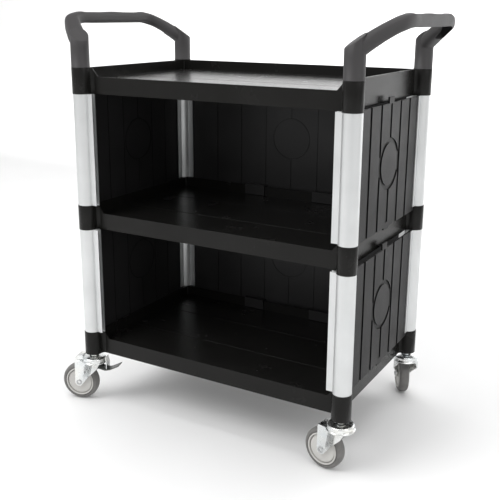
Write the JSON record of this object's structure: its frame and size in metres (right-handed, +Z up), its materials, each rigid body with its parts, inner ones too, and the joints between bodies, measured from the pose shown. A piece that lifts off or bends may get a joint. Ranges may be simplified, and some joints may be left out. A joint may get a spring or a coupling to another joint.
{
  "type": "rolling utility cart",
  "caption": "Moulded-plastic tray cart on round aluminium posts, with slide-in panels on three sides, push handles at both ends and swivel casters.",
  "frame": {"origin": "on the floor, under the centre of the four corner posts", "axes": "+X from the left end to the right end, +Y from the open front to the rear panels, +Z up"},
  "size_m": [0.8502, 0.5222, 0.956],
  "materials": {
    "tray_plastic": "satin moulded black, fine grain",
    "post_aluminium": "satin anodised extrusion",
    "panel_plastic": "satin moulded dark grey",
    "handle_plastic": "matte moulded dark grey",
    "rod_steel": "zinc-plated steel rod",
    "insert_brass": "turned brass insert",
    "bush_plastic": "black moulded bush",
    "stem_zinc": "bright zinc plate",
    "fork_zinc": "bright zinc-plated stamped steel",
    "axle_steel": "zinc-plated bolt",
    "tyre_grey": "grey thermoplastic rubber, non-marking",
    "hub_plastic": "light grey moulded hub",
    "pedal_steel": "dark grey coated steel"
  },
  "bodies": {
    "cart": {"bottom_tray": "tray_plastic", "middle_tray": "tray_plastic", "top_tray": "tray_plastic", "lower_post_fl": "post_aluminium", "lower_post_fr": "post_aluminium", "lower_post_rl": "post_aluminium", "lower_post_rr": "post_aluminium", "lower_panel_left": "panel_plastic", "lower_panel_right": "panel_plastic", "lower_panel_rear": "panel_plastic", "upper_post_fl": "post_aluminium", "upper_post_fr": "post_aluminium", "upper_post_rl": "post_aluminium", "upper_post_rr": "post_aluminium", "upper_panel_left": "panel_plastic", "upper_panel_right": "panel_plastic", "upper_panel_rear": "panel_plastic", "left_handle": "handle_plastic", "right_handle": "handle_plastic", "tie_rods": "rod_steel", "handle_inserts": "insert_brass", "stem_bushes": "bush_plastic", "caster_stems": "stem_zinc"},
    "swivel_fl": {"fork_fl": "fork_zinc", "axle_fl": "axle_steel"},
    "wheel_fl": {"tyre_fl": "tyre_grey", "hub_fl": "hub_plastic"},
    "brake_fl": {"pedal_fl": "pedal_steel"},
    "swivel_fr": {"fork_fr": "fork_zinc", "axle_fr": "axle_steel"},
    "wheel_fr": {"tyre_fr": "tyre_grey", "hub_fr": "hub_plastic"},
    "swivel_rl": {"fork_rl": "fork_zinc", "axle_rl": "axle_steel"},
    "wheel_rl": {"tyre_rl": "tyre_grey", "hub_rl": "hub_plastic"},
    "brake_rl": {"pedal_rl": "pedal_steel"},
    "swivel_rr": {"fork_rr": "fork_zinc", "axle_rr": "axle_steel"},
    "wheel_rr": {"tyre_rr": "tyre_grey", "hub_rr": "hub_plastic"}
  },
  "joints": [
    {"name": "swivel_fl_turn", "type": "hinge", "parent": "cart", "child": "swivel_fl", "pos_m": [-0.3375, -0.205, 0.11], "axis": [0, 0, 1], "continuous": true},
    {"name": "wheel_fl_spin", "type": "hinge", "parent": "swivel_fl", "child": "wheel_fl", "pos_m": [-0.37384, -0.21611, 0.047], "axis": [-0.2924, 0.9563, 0], "continuous": true},
    {"name": "brake_fl_press", "type": "hinge", "parent": "swivel_fl", "child": "brake_fl", "pos_m": [-0.34515, -0.20734, 0.094], "axis": [-0.2924, 0.9563, 0], "range_deg": [0, 4]},
    {"name": "swivel_fr_turn", "type": "hinge", "parent": "cart", "child": "swivel_fr", "pos_m": [0.3375, -0.205, 0.11], "axis": [0, 0, 1], "continuous": true},
    {"name": "wheel_fr_spin", "type": "hinge", "parent": "swivel_fr", "child": "wheel_fr", "pos_m": [0.30008, -0.1984, 0.047], "axis": [0.1736, 0.9848, 0], "continuous": true},
    {"name": "swivel_rl_turn", "type": "hinge", "parent": "cart", "child": "swivel_rl", "pos_m": [-0.3375, 0.205, 0.11], "axis": [0, 0, 1], "continuous": true},
    {"name": "wheel_rl_spin", "type": "hinge", "parent": "swivel_rl", "child": "wheel_rl", "pos_m": [-0.37321, 0.218, 0.047], "axis": [0.342, 0.9397, 0], "continuous": true},
    {"name": "brake_rl_press", "type": "hinge", "parent": "swivel_rl", "child": "brake_rl", "pos_m": [-0.34502, 0.20774, 0.094], "axis": [0.342, 0.9397, 0], "range_deg": [0, 4]},
    {"name": "swivel_rr_turn", "type": "hinge", "parent": "cart", "child": "swivel_rr", "pos_m": [0.3375, 0.205, 0.11], "axis": [0, 0, 1], "continuous": true},
    {"name": "wheel_rr_spin", "type": "hinge", "parent": "swivel_rr", "child": "wheel_rr", "pos_m": [0.31908, 0.23824, 0.047], "axis": [0.8746, 0.4848, 0], "continuous": true}
  ]
}
